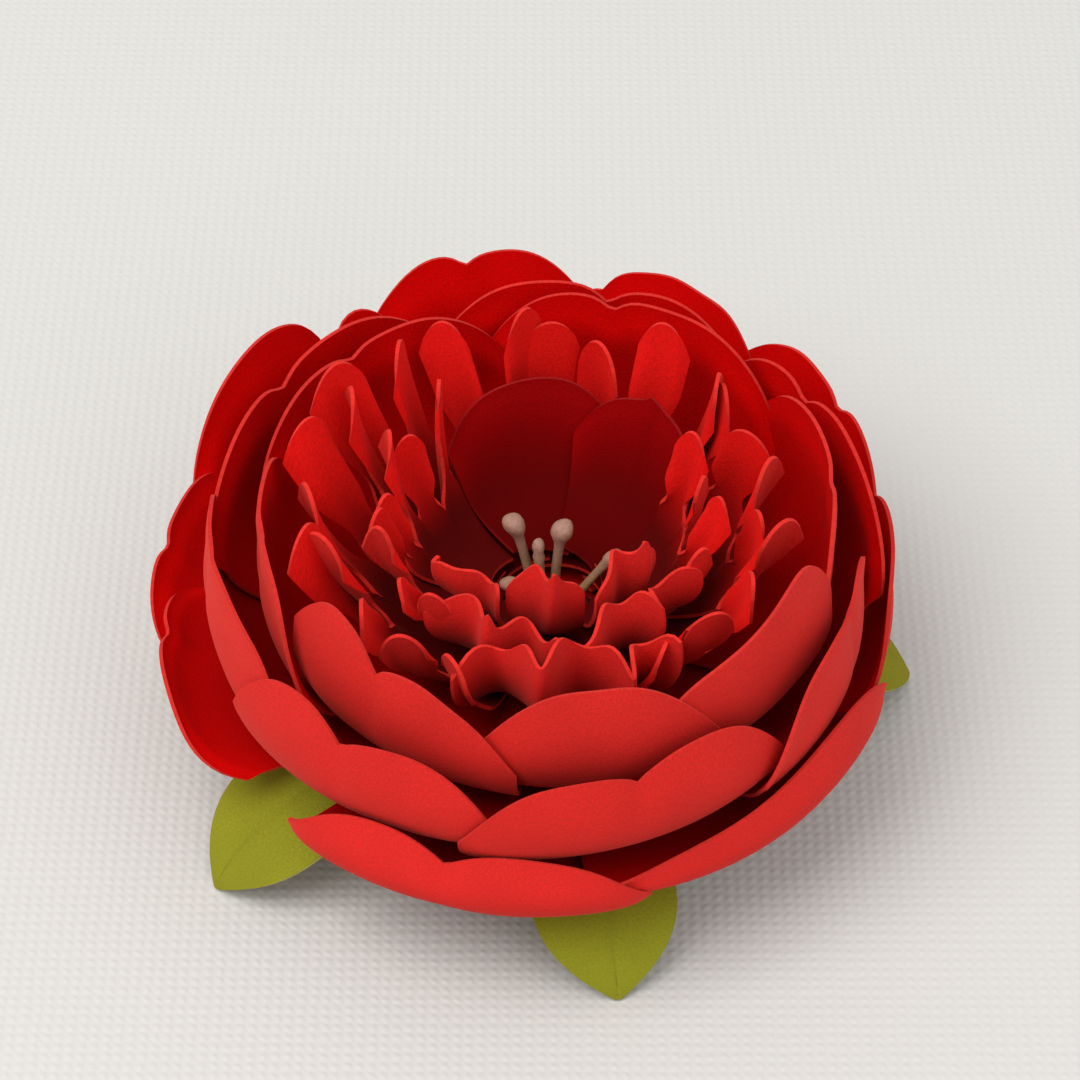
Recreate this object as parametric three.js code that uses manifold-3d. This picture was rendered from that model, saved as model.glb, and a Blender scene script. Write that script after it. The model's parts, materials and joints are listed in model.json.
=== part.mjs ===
// Flower hair clip: a pressed-cloth peony with five leaves, glued on felt to a sprung flat clip.
// Millimetres, +Z up. The flower opens upwards, its front is towards -Y, and the whole stands on
// its leaf tips and on the end of the clip's lever. Azimuths are degrees from the front, and grow
// towards +X. The origin is under the middle of the whole, on the surface that it stands on.
import * as THREE from 'three';
import { mergeVertices } from 'three/addons/utils/BufferGeometryUtils.js';
import Module from 'manifold-3d';

const wasm = await Module();
wasm.setup();

// Clip
const JAW_REACH = 29; // pivot to the tip of the jaw
const LEVER_REACH = 15.5; // pivot to the end of the lever
const CLIP_WIDTH = 8; // over the ears of the strip
const TIP_WIDTH = 5.6; // strip at its tip
const STEEL = 0.6; // sheet of the strip and of the jaw
const STRIP_HEIGHT = 5.7; // underside of the strip above the standing surface
const EAR_LENGTH = 6; // ears of the strip, along the clip
const JAW_FLAT_REACH = 18; // pivot to where the jaw starts to rise
const TOOTH_COUNT = 5;
const TOOTH_DEPTH = 0.8;
const TOOTH_ROOT = 0.8; // foot of the teeth above the middle of the jaw's sheet
const FOOT_LENGTH = 3; // level end of the lever
const SIDE_PLAY = 0.25; // jaw to each ear
const CLOSED_GAP = 0.1; // teeth to strip
const PIN_DIAMETER = 1.2;
const PIN_PLAY = 0.1; // round the pin
const HEAD_DIAMETER = 2.2; // riveted ends of the pin
const HEAD_HEIGHT = 0.4;
const WIRE = 0.4; // spring
const COIL_DIAMETER = 2.2; // middle of the wire
const COIL_TURNS = 5;
const COIL_ROOM = 0.3; // coil to the strip
const COIL_FLOOR = 0.4; // coil to the jaw
const LEG_LENGTH = 7;
const CLIP_AZIMUTH = -140; // way the lever points
const CLIP_SHIFT = 7; // flower's middle to the pivot

// Backing
const FELT_DIAMETER = 30;
const FELT = 0.8;
const GAP = 0.15; // between pieces of cloth that lie on each other
const CORE_DIAMETER = 8; // glue core that the petals are set round
const CORE_DROP = 3.5; // top of the core below the roots of the innermost ring

// Cloth of petals and leaves
const CLOTH = 0.5;
const LAP_GAP = 0.35; // between one ring of petals and the next
const PETAL_COLUMNS = 6;
const PETAL_ROWS = 5;
const RUFFLE_COLUMNS = 8;
const WALL_FLOOR = 0.92; // how far the walls run level from the core, in rims
const LEVEL_ROWS = 0.6; // share of a petal's rows that run level

// Rings of petals, from the outside in. radius and height are those of the rim. The rim is tilted:
// frontDrop lowers it at the front and lifts it at the back, backFlare widens it at the back, and
// leftFlare at the left. The wall curves up through its belly, whose radius is in rims and rise in
// millimetres above the roots; at the front it is bellyFront wider and bellyDrop lower, and at the
// back the other way. room is the depth that the overlaps take beyond one cloth, and side the edge
// that lies on the outside. lobes, where there are any, are the scallops of a ruffle's rim.
// petals are azimuth, half spread in degrees, and length along the ring's wall, in walls.
const RINGS = [
  {
    name: 'outer_petal', radius: 29.4, height: 11.2, frontDrop: 4.9, backFlare: 1.8, leftFlare: 1.3,
    belly: 1.08, bellyFront: 0.09, bellyRise: -1, bellyDrop: 0.9, room: 0.8, side: 1, notch: 0.08,
    color: 0xbe2a26,
    petals: [
      [-14, 31, 1], [43, 31, 0.92], [93, 27, 0.93], [131, 23, 0.95], [161, 21, 0.97],
      [190, 22, 1], [222, 24, 1], [253, 21, 0.8], [279, 22, 0.78],
    ],
  },
  {
    name: 'middle_petal', radius: 25.7, height: 13.2, frontDrop: 2, backFlare: 0.2, leftFlare: 0.7,
    belly: 1.14, bellyFront: 0.03, bellyRise: 0.5, bellyDrop: 0.3, room: 1, side: -1, notch: 0.08,
    color: 0xc22c28,
    petals: [
      [16, 31, 0.97], [68, 28, 0.97], [119, 30, 1], [172, 31, 1], [229, 33, 1],
      [280, 30, 0.98], [326, 28, 0.97],
    ],
  },
  {
    name: 'cup_petal', radius: 22.3, height: 13.8, frontDrop: 0.5, backFlare: 0.8, leftFlare: 0,
    belly: 1.14, bellyFront: 0.02, bellyRise: 1.4, bellyDrop: 0.2, room: 0.7, side: 1, notch: 0.06,
    color: 0xc22c28,
    petals: [
      [10, 28, 1], [47, 26, 0.98], [101, 36, 0.99], [160, 34, 1], [219, 34, 0.98],
      [274, 32, 0.99], [322, 31, 1],
    ],
  },
  {
    name: 'outer_ruffle', radius: 17, height: 10.2, frontDrop: 0.6, backFlare: 0.9, leftFlare: 0,
    belly: 1.1, bellyFront: 0, bellyRise: 4, bellyDrop: 0, room: 0.5, side: 1, notch: 0,
    color: 0xa3120f,
    lobes: 4,
    petals: [
      [4, 32, 0.95], [56, 32, 0.95], [107, 32, 1], [158, 32, 1], [209, 32, 1], [260, 32, 1],
      [311, 32, 1],
    ],
  },
  {
    name: 'inner_ruffle', radius: 12, height: 7.6, frontDrop: 0.6, backFlare: 0, leftFlare: 0,
    belly: 1.1, bellyFront: 0, bellyRise: 3, bellyDrop: 0, room: 0.3, side: -1, notch: 0,
    color: 0x9a100e,
    lobes: 4,
    petals: [[-114, 28, 1], [-66, 28, 0.98], [-17, 30, 0.94], [37, 30, 0.94], [91, 30, 1]],
  },
  {
    name: 'front_ruffle', radius: 8, height: 6.8, frontDrop: 0, backFlare: 0, leftFlare: 0,
    belly: 1.1, bellyFront: 0, bellyRise: 2.6, bellyDrop: 0, room: -0.5, side: 1, notch: 0,
    color: 0x9a100e,
    lobes: 4,
    petals: [[-50, 23, 1], [0, 23, 1], [50, 23, 1]],
  },
];
const CENTRE_PETALS = {
  name: 'centre_petal', radius: 14, height: 8.8, frontDrop: 0, backFlare: 0, leftFlare: 0,
  belly: 0.92, bellyFront: 0, bellyRise: 2.9, bellyDrop: 0, room: 0.4, side: 1, notch: 0.05,
  color: 0x7d0a09,
  petals: [[146, 24, 1], [187, 30, 1]],
};

// Stamens: distance from the middle, azimuth, height of the head above the core, lean outwards
const STAMENS = [
  [1.7, -135, 6.6, 2.4], [1.3, 150, 6.4, 1.5], [0.4, -160, 5.2, 1.6], [2.3, 100, 4.6, 3.5],
  [2.6, 30, 4.2, 0.9], [2.7, -60, 4, 0.9],
];
const STAMEN_DIAMETER = 0.8;
const STAMEN_HEAD = 1.8;

// Leaves: azimuth of each, and how far its tip reaches from the flower's middle
const LEAVES = [[11, 29.5], [-57, 32], [102, 31.5], [-109, 34.5], [172, 31]];
const LEAF_WIDTH = 12.5;
const LEAF_ROOT = 7; // distance of the roots from the middle
const LEAF_CUP = 0.9; // drop of the edges below the rib
const LEAF_COLUMNS = 4;
const LEAF_ROWS = 7;

const COIL_REACH = (COIL_DIAMETER + WIRE) / 2;
const PIVOT_HEIGHT = STRIP_HEIGHT - COIL_ROOM - COIL_REACH;
const JAW_FLAT_HEIGHT = PIVOT_HEIGHT - COIL_REACH - COIL_FLOOR - STEEL / 2; // middle of the sheet
const JAW_TIP_HEIGHT = STRIP_HEIGHT - CLOSED_GAP - TOOTH_DEPTH - TOOTH_ROOT;
const FELT_BASE = STRIP_HEIGHT + STEEL;
const LEAF_BASE = FELT_BASE + FELT + GAP + CLOTH / 2;
const PETAL_ROOT = CORE_DIAMETER / 2 + 0.5;
const OUTER_SAG = 0.5; // the outermost ring dips this much below its roots
const radians = THREE.MathUtils.degToRad;

// The rings' roots are stacked up the core, each above the cloth and the overlaps of the last.
let stack = LEAF_BASE + CLOTH / 2 + GAP + OUTER_SAG;
for (const ring of RINGS) {
  ring.lap = CLOTH + ring.room;
  ring.base = stack + (ring.lap + CLOTH) / 2;
  stack += ring.lap + CLOTH + LAP_GAP;
}
CENTRE_PETALS.lap = CLOTH + CENTRE_PETALS.room;
CENTRE_PETALS.base = RINGS.find((ring) => ring.name === 'inner_ruffle').base;
const coreBase = FELT_BASE + FELT;
const coreTop = RINGS[RINGS.length - 1].base - CORE_DROP;

// Places on the flower

function around(azimuth, radius, height) {
  const turn = radians(azimuth);
  return new THREE.Vector3(radius * Math.sin(turn), -radius * Math.cos(turn), height);
}

function wallPoint(ring, azimuth, along, offset) {
  const turn = radians(azimuth);
  const radius = ring.radius - ring.backFlare * Math.cos(turn) - ring.leftFlare * Math.sin(turn);
  const height = ring.height - ring.frontDrop * Math.cos(turn);
  const belly = ring.belly + ring.bellyFront * Math.cos(turn);
  const bellyRise = ring.bellyRise - ring.bellyDrop * Math.cos(turn);
  const wall = new THREE.CubicBezierCurve(
    new THREE.Vector2(PETAL_ROOT, ring.base),
    new THREE.Vector2(radius * WALL_FLOOR, ring.base - OUTER_SAG),
    new THREE.Vector2(radius * belly, ring.base + bellyRise),
    new THREE.Vector2(radius, ring.base + height),
  );
  const place = wall.getPoint(along);
  const way = wall.getTangent(along);
  return around(azimuth, place.x + way.y * offset, place.y - way.x * offset);
}

// The lower part of a petal's rows run level round the whole ring, so that neighbours stay
// parallel, and the rows above them rise to the petal's own rim.
function petalPoint(ring, petal, across, up) {
  const [azimuth, spread, length] = petal;
  const corner = ring.lobes ? 0.1 * across ** 6 : 0.28 * across ** 4;
  const notch = ring.notch * Math.exp(-((across / 0.14) ** 2));
  const scallop = ring.lobes ? 0.06 * (1 + Math.cos(Math.PI * ring.lobes * (across + 1))) : 0;
  const crest = length * (1 - corner - notch) - scallop;
  const above = Math.max(0, (up - LEVEL_ROWS) / (1 - LEVEL_ROWS));
  const along = up - above * (1 - crest);
  const offset = 0.5 * ring.lap * ring.side * across;
  return wallPoint(ring, azimuth + across * spread, along, offset);
}

function leafPoint(azimuth, reach, across, along) {
  const rib = new THREE.CubicBezierCurve(
    new THREE.Vector2(LEAF_ROOT, LEAF_BASE),
    new THREE.Vector2(reach * 0.66, LEAF_BASE + 1.1),
    new THREE.Vector2(reach * 0.93, LEAF_BASE * 0.8),
    new THREE.Vector2(reach, CLOTH * 0.17),
  );
  const place = rib.getPoint(along);
  const bulge = Math.sin(Math.PI * Math.abs(along) ** 1.25);
  const half = LEAF_WIDTH * (0.4 * bulge + 0.13 * (1 - along) + 0.02);
  const drop = 5 * LEAF_CUP * across ** 2 * Math.max(0, along - 0.3) * (1 - along);
  const middle = around(azimuth, place.x, place.y - drop);
  return middle.add(around(azimuth + 90, half * across, 0));
}

// Solids

// A sheet of cloth of even thickness round the surface point(across, up), with across from -1 to 1
// and up from 0 to 1.
function sheet(point, columns, rows, thickness) {
  const positions = [];
  const step = 1e-3;
  for (const face of [0.5, -0.5]) {
    for (let row = 0; row <= rows; row += 1) {
      for (let column = 0; column <= columns; column += 1) {
        const across = (2 * column) / columns - 1;
        const up = row / rows;
        const sideways = point(across + step, up).sub(point(across - step, up));
        const lengthways = point(across, up + step).sub(point(across, up - step));
        const normal = sideways.cross(lengthways).normalize();
        const corner = point(across, up).addScaledVector(normal, face * thickness);
        positions.push(corner.x, corner.y, corner.z);
      }
    }
  }
  const width = columns + 1;
  const layer = width * (rows + 1);
  const faces = [];
  const quad = (a, b, c, d) => faces.push(a, b, c, a, c, d);
  for (let row = 0; row < rows; row += 1) {
    for (let column = 0; column < columns; column += 1) {
      const a = row * width + column;
      quad(a, a + 1, a + width + 1, a + width);
      quad(layer + a, layer + a + width, layer + a + width + 1, layer + a + 1);
    }
  }
  for (let column = 0; column < columns; column += 1) {
    const last = rows * width + column;
    quad(column + 1, column, layer + column, layer + column + 1);
    quad(last, last + 1, layer + last + 1, layer + last);
  }
  for (let row = 0; row < rows; row += 1) {
    const first = row * width;
    const last = first + columns;
    quad(first, first + width, layer + first + width, layer + first);
    quad(last + width, last, layer + last, layer + last + width);
  }
  const geometry = new THREE.BufferGeometry();
  geometry.setAttribute('position', new THREE.Float32BufferAttribute(positions, 3));
  geometry.setIndex(faces);
  return geometry;
}

function solidOf(geometry) {
  const bare = geometry.clone();
  bare.deleteAttribute('normal');
  bare.deleteAttribute('uv');
  const merged = mergeVertices(bare, 1e-4);
  return new wasm.Manifold(new wasm.Mesh({
    numProp: 3,
    vertProperties: new Float32Array(merged.attributes.position.array),
    triVerts: new Uint32Array(merged.index.array),
  }));
}

function geometryOf(solid) {
  const { vertProperties, triVerts } = solid.getMesh();
  const geometry = new THREE.BufferGeometry();
  geometry.setAttribute('position', new THREE.BufferAttribute(vertProperties, 3));
  geometry.setIndex(new THREE.BufferAttribute(triVerts, 1));
  return geometry;
}

// A flat outline in x and z, given a width along y about the clip's middle plane.
function sidePlate(shape, width, y = 0) {
  const geometry = new THREE.ExtrudeGeometry(shape, { depth: width, bevelEnabled: false });
  geometry.rotateX(Math.PI / 2);
  return geometry.translate(0, y + width / 2, 0);
}

// A flat outline in x and y, from one height to another.
function slab(shape, bottom, top) {
  const geometry = new THREE.ExtrudeGeometry(shape, {
    depth: top - bottom, bevelEnabled: false, curveSegments: 6,
  });
  return geometry.translate(0, 0, bottom);
}

function crossRod(radius, length, segments = 16) {
  return new THREE.CylinderGeometry(radius, radius, length, segments);
}

// Plan of a strip that narrows from its pivot to its tip and has round corners at both ends.
function stripPlan(tip, tipWidth, tail, tailWidth) {
  const tipHalf = tipWidth / 2;
  const tailHalf = tailWidth / 2;
  const round = 0.8 * tailHalf;
  const shape = new THREE.Shape();
  shape.moveTo(0, -tailHalf);
  shape.lineTo(tail - round, -tailHalf);
  shape.quadraticCurveTo(tail, -tailHalf, tail, 0);
  shape.quadraticCurveTo(tail, tailHalf, tail - round, tailHalf);
  shape.lineTo(0, tailHalf);
  shape.lineTo(tipHalf - tip, tipHalf);
  shape.quadraticCurveTo(-tip, tipHalf, -tip, 0);
  shape.quadraticCurveTo(-tip, -tipHalf, tipHalf - tip, -tipHalf);
  shape.closePath();
  return shape;
}

// Outline of a bent sheet whose middle line runs through the points.
function bentSheet(points, thickness) {
  const upper = [];
  const lower = [];
  points.forEach((point, index) => {
    const before = points[Math.max(index - 1, 0)];
    const after = points[Math.min(index + 1, points.length - 1)];
    const first = point.clone().sub(before).normalize();
    const second = after.clone().sub(point).normalize();
    const way = first.clone().add(second).normalize();
    const miter = index > 0 && index < points.length - 1 ? first.dot(way) : 1;
    const normal = new THREE.Vector2(-way.y, way.x).multiplyScalar(thickness / 2 / miter);
    upper.push(point.clone().add(normal));
    lower.unshift(point.clone().sub(normal));
  });
  return new THREE.Shape([...upper, ...lower]);
}

function earShape(half, top, bottom, centreHeight) {
  const shape = new THREE.Shape();
  shape.moveTo(-half, top);
  shape.lineTo(half, top);
  shape.lineTo(half * 0.8, centreHeight);
  shape.quadraticCurveTo(half * 0.7, bottom, 0, bottom);
  shape.quadraticCurveTo(-half * 0.7, bottom, -half * 0.8, centreHeight);
  shape.closePath();
  return shape;
}

// Clip pieces, with the pivot at x = 0 and the lever towards +X

const pinHole = PIN_DIAMETER / 2 + PIN_PLAY;
const jawWidth = CLIP_WIDTH - 2 * STEEL - 2 * SIDE_PLAY;

function clipStrip() {
  const plan = stripPlan(JAW_REACH, TIP_WIDTH, LEVER_REACH, CLIP_WIDTH);
  let strip = solidOf(slab(plan, STRIP_HEIGHT, STRIP_HEIGHT + STEEL));
  const ear = earShape(EAR_LENGTH / 2, STRIP_HEIGHT + STEEL, JAW_FLAT_HEIGHT, PIVOT_HEIGHT);
  for (const side of [-1, 1]) {
    const plate = sidePlate(ear, STEEL, side * (CLIP_WIDTH - STEEL) / 2);
    strip = strip.add(solidOf(plate));
  }
  const hole = crossRod(pinHole, CLIP_WIDTH + 1).translate(0, 0, PIVOT_HEIGHT);
  return geometryOf(strip.subtract(solidOf(hole)));
}

function clipJaw() {
  const rise = JAW_TIP_HEIGHT - JAW_FLAT_HEIGHT;
  const line = [
    [-JAW_REACH, JAW_TIP_HEIGHT], [-JAW_REACH + 2, JAW_TIP_HEIGHT - 0.05 * rise],
    [-JAW_FLAT_REACH - 3, JAW_FLAT_HEIGHT + 0.18 * rise], [-JAW_FLAT_REACH, JAW_FLAT_HEIGHT],
    [1.5, JAW_FLAT_HEIGHT], [LEVER_REACH - FOOT_LENGTH, STEEL / 2], [LEVER_REACH, STEEL / 2],
  ].map(([x, z]) => new THREE.Vector2(x, z));
  let jaw = solidOf(sidePlate(bentSheet(line, STEEL), jawWidth));
  const plan = stripPlan(JAW_REACH, TIP_WIDTH, LEVER_REACH, jawWidth);
  jaw = jaw.intersect(solidOf(slab(plan, -1, STRIP_HEIGHT)));
  const tab = earShape(EAR_LENGTH / 3, JAW_FLAT_HEIGHT, PIVOT_HEIGHT + COIL_REACH, PIVOT_HEIGHT);
  for (const side of [-1, 1]) {
    const plate = sidePlate(tab, STEEL, side * (jawWidth - STEEL) / 2);
    jaw = jaw.add(solidOf(plate));
  }
  jaw = jaw.add(solidOf(teeth()));
  const hole = crossRod(pinHole, CLIP_WIDTH).translate(0, 0, PIVOT_HEIGHT);
  return geometryOf(jaw.subtract(solidOf(hole)));
}

// A comb across the tip of the jaw, with its points just under the strip.
function teeth() {
  const width = TIP_WIDTH * 0.72;
  const pitch = width / TOOTH_COUNT;
  const top = STRIP_HEIGHT - CLOSED_GAP;
  const shape = new THREE.Shape();
  shape.moveTo(-width / 2, JAW_TIP_HEIGHT);
  shape.lineTo(width / 2, JAW_TIP_HEIGHT);
  for (let tooth = 0; tooth < TOOTH_COUNT; tooth += 1) {
    const right = width / 2 - tooth * pitch;
    shape.lineTo(right, top - TOOTH_DEPTH);
    shape.lineTo(right - pitch / 2, top);
  }
  shape.lineTo(-width / 2, top - TOOTH_DEPTH);
  shape.closePath();
  const comb = new THREE.ExtrudeGeometry(shape, { depth: STEEL, bevelEnabled: false });
  return comb.rotateX(Math.PI / 2).rotateZ(Math.PI / 2).translate(-JAW_REACH + 1.2, 0, 0);
}

function hingePin() {
  const half = CLIP_WIDTH / 2 + PIN_PLAY;
  const shank = PIN_DIAMETER / 2;
  const head = HEAD_DIAMETER / 2;
  const outline = [
    [0, -half - HEAD_HEIGHT], [head * 0.7, -half - HEAD_HEIGHT], [head, -half - HEAD_HEIGHT / 2],
    [head, -half], [shank, -half], [shank, half], [head, half], [head, half + HEAD_HEIGHT / 2],
    [head * 0.7, half + HEAD_HEIGHT], [0, half + HEAD_HEIGHT],
  ].map(([x, y]) => new THREE.Vector2(x, y));
  return new THREE.LatheGeometry(outline, 16).translate(0, 0, PIVOT_HEIGHT);
}

// A torsion spring round the pin. One leg lies under the strip and the other on the lever.
function jawSpring() {
  const radius = COIL_DIAMETER / 2;
  const pitch = WIRE * 1.3;
  const steps = 10;
  const points = [];
  const start = -pitch * COIL_TURNS / 2;
  const upperLeg = STRIP_HEIGHT - WIRE / 2 - 0.05;
  points.push(new THREE.Vector3(LEG_LENGTH, start, upperLeg));
  points.push(new THREE.Vector3(LEG_LENGTH / 2, start, upperLeg - 0.06));
  for (let step = 0; step <= COIL_TURNS * steps + steps / 2; step += 1) {
    const turn = Math.PI / 2 + (2 * Math.PI * step) / steps;
    points.push(new THREE.Vector3(
      radius * Math.cos(turn),
      start + (pitch * step) / steps,
      PIVOT_HEIGHT + radius * Math.sin(turn),
    ));
  }
  const end = points[points.length - 1].y;
  const slope = (JAW_FLAT_HEIGHT - STEEL / 2) / (LEVER_REACH - FOOT_LENGTH - 1.5);
  const leverTop = JAW_FLAT_HEIGHT + STEEL / 2 - slope * (LEG_LENGTH - 1.5);
  points.push(new THREE.Vector3(LEG_LENGTH / 2, end, (leverTop + 0.35 + PIVOT_HEIGHT - radius) / 2));
  points.push(new THREE.Vector3(LEG_LENGTH, end, leverTop + WIRE / 2 + 0.15));
  const section = new THREE.Shape();
  section.absarc(0, 0, WIRE / 2, 0, 2 * Math.PI);
  return new THREE.ExtrudeGeometry(section, {
    steps: points.length - 1,
    curveSegments: 6,
    extrudePath: new THREE.CatmullRomCurve3(points, false, 'centripetal'),
  });
}

function core() {
  const half = CORE_DIAMETER / 2;
  const outline = [
    [0, coreBase], [half, coreBase], [half, coreTop - half * 0.25], [half * 0.7, coreTop],
    [0, coreTop],
  ].map(([x, y]) => new THREE.Vector2(x, y));
  return new THREE.LatheGeometry(outline, 16).rotateX(Math.PI / 2);
}

function feltDisc() {
  const disc = new THREE.CylinderGeometry(FELT_DIAMETER / 2, FELT_DIAMETER / 2, FELT, 36);
  return disc.rotateX(Math.PI / 2).translate(0, 0, FELT_BASE + FELT / 2);
}

// Build

const clip = new THREE.Group();
const flower = new THREE.Group();
clip.rotation.z = radians(CLIP_AZIMUTH - 90);
clip.position.copy(around(CLIP_AZIMUTH, CLIP_SHIFT, 0));

function add(group, name, geometry, color, roughness, metalness = 0) {
  const material = new THREE.MeshStandardMaterial({ color, roughness, metalness });
  const mesh = new THREE.Mesh(geometry, material);
  mesh.name = name;
  group.add(mesh);
  return mesh;
}

add(clip, 'clip_strip', clipStrip(), 0xb9bcc0, 0.3, 1);
add(clip, 'clip_jaw', clipJaw(), 0xb9bcc0, 0.3, 1);
add(clip, 'hinge_pin', hingePin(), 0xa9acb0, 0.35, 1);
add(clip, 'jaw_spring', jawSpring(), 0x8f9296, 0.35, 1);
add(flower, 'felt_disc', feltDisc(), 0x6e6a2a, 0.95);
add(flower, 'glue_core', core(), 0xd9c9a8, 0.5);

for (const ring of [...RINGS, CENTRE_PETALS]) {
  const columns = ring.lobes ? RUFFLE_COLUMNS : PETAL_COLUMNS;
  ring.petals.forEach((petal, index) => {
    const surface = (across, up) => petalPoint(ring, petal, across, up);
    add(flower, `${ring.name}_${index + 1}`, sheet(surface, columns, PETAL_ROWS, CLOTH), ring.color, 0.9);
  });
}

STAMENS.forEach(([distance, azimuth, height, lean], index) => {
  const thread = STAMEN_DIAMETER / 2;
  const head = STAMEN_HEAD / 2;
  const outline = [
    [0, 0], [thread, 0], [thread, height - head], [head, height - head * 0.3],
    [head * 0.9, height + head * 0.4], [0, height + head * 0.8],
  ].map(([x, y]) => new THREE.Vector2(x, y));
  const geometry = new THREE.LatheGeometry(outline, 8).rotateX(Math.PI / 2);
  const away = around(azimuth, lean, 0);
  const shear = new THREE.Matrix4().makeShear(0, 0, 0, 0, away.x / height, away.y / height);
  geometry.applyMatrix4(shear);
  const stamen = add(flower, `stamen_${index + 1}`, geometry, 0xb0906c, 0.7);
  stamen.position.copy(around(azimuth, distance, coreTop + GAP));
});

LEAVES.forEach(([azimuth, reach], index) => {
  const surface = (across, along) => leafPoint(azimuth, reach, across, along);
  const geometry = sheet(surface, LEAF_COLUMNS, LEAF_ROWS, CLOTH);
  geometry.computeBoundingBox();
  geometry.translate(0, 0, -geometry.boundingBox.min.z);
  add(flower, `leaf_${index + 1}`, geometry, 0x87862a, 0.9);
});

const whole = new THREE.Group();
whole.add(flower, clip);
const extent = new THREE.Box3().setFromObject(whole, true);
const middle = extent.getCenter(new THREE.Vector3());
whole.position.set(-middle.x, -middle.y, -extent.min.z);

export default whole;
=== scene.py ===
import json
import math

import bmesh
import bpy
import numpy as np
from bpy.props import FloatProperty, PointerProperty, StringProperty
from mathutils import Matrix, Vector


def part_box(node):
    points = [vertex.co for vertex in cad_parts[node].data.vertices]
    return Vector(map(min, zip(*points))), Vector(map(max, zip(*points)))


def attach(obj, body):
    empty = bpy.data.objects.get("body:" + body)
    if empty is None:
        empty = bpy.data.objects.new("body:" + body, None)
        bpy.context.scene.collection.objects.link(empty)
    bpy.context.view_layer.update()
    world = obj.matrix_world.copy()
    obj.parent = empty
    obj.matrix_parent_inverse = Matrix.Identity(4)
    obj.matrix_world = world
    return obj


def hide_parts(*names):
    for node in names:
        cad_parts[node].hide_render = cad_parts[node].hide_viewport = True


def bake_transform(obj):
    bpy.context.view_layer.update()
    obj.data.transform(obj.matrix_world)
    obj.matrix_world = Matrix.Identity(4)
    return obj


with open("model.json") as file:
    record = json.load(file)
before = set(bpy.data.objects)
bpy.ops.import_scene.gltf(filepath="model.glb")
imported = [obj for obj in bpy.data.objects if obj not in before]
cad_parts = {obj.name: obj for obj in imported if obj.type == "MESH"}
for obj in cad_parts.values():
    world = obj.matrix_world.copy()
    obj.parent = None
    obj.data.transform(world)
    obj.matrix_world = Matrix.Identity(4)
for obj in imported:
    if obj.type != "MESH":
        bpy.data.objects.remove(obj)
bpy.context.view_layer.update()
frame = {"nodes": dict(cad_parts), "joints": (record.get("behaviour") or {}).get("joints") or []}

bl_info = {
    "name": "Flower Hair Clip",
    "version": (1, 0, 0),
    "blender": (4, 5, 0),
    "location": "View3D > Sidebar > Hair Clip",
    "description": "Builds a pressed-cloth peony on a sprung steel clip, round a fixed frame",
    "category": "Add Mesh",
}

MM = 0.001

# The flower stands on its felt. Azimuths are degrees from the front (-Y) and grow towards +X.
FELT_LOW, FELT_HIGH = (np.array(corner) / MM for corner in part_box("felt_disc"))
MIDDLE = (FELT_LOW + FELT_HIGH)[:2] / 2
FELT_TOP = FELT_HIGH[2]
ROOT_RADIUS = 4.5  # where the petals meet the glue core

# Rings of petals, in millimetres: rim radius and rim height above the roots, how far the rim drops
# at the front and flares at the back and at -X, the belly's radius in rims and its rise above the
# roots, how much wider and lower the belly is at the front, the depth that the overlaps take, the
# edge that lies outside (1 is the right one, -1 the left), and the roots above the felt. A petal's
# left and right, here and below, are as seen from outside the flower.
RINGS = {
    "outer_petal": dict(radius=29.4, height=11.2, front_drop=4.9, back_flare=1.8, left_flare=1.3,
                        belly=1.08, belly_front=0.09, belly_rise=-1, belly_drop=0.9, lap=1.1,
                        side=1, root=2.2),
    "middle_petal": dict(radius=25.7, height=13.2, front_drop=2, back_flare=0.2, left_flare=0.7,
                         belly=1.14, belly_front=0.03, belly_rise=0.5, belly_drop=0.3, lap=1.1,
                         side=-1, root=4.35),
    "cup_petal": dict(radius=22.3, height=13.8, front_drop=0.5, back_flare=0.8, left_flare=0,
                      belly=1.14, belly_front=0.02, belly_rise=1.4, belly_drop=0.2, lap=1.1,
                      side=1, root=6.45),
    "outer_ruffle": dict(radius=15.6, height=10.2, front_drop=0.6, back_flare=0.9, left_flare=0,
                         belly=1.1, belly_front=0, belly_rise=4, belly_drop=0, lap=0.9,
                         side=1, root=8.4),
    "inner_ruffle": dict(radius=11.2, height=7.6, front_drop=0.6, back_flare=0, left_flare=0,
                         belly=1.1, belly_front=0, belly_rise=3, belly_drop=0, lap=0.7,
                         side=-1, root=10.15),
    "front_ruffle": dict(radius=8, height=6.8, front_drop=0, back_flare=0, left_flare=0,
                         belly=1.1, belly_front=0, belly_rise=2.6, belly_drop=0, lap=0,
                         side=1, root=11.4),
    "centre_petal": dict(radius=14, height=8.8, front_drop=0, back_flare=0, left_flare=0,
                         belly=0.92, belly_front=0, belly_rise=2.9, belly_drop=0, lap=0.8,
                         side=-1, root=10.15),
}
WALL_FLOOR = 0.92  # how far the walls run level from the core, in rims

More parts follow.
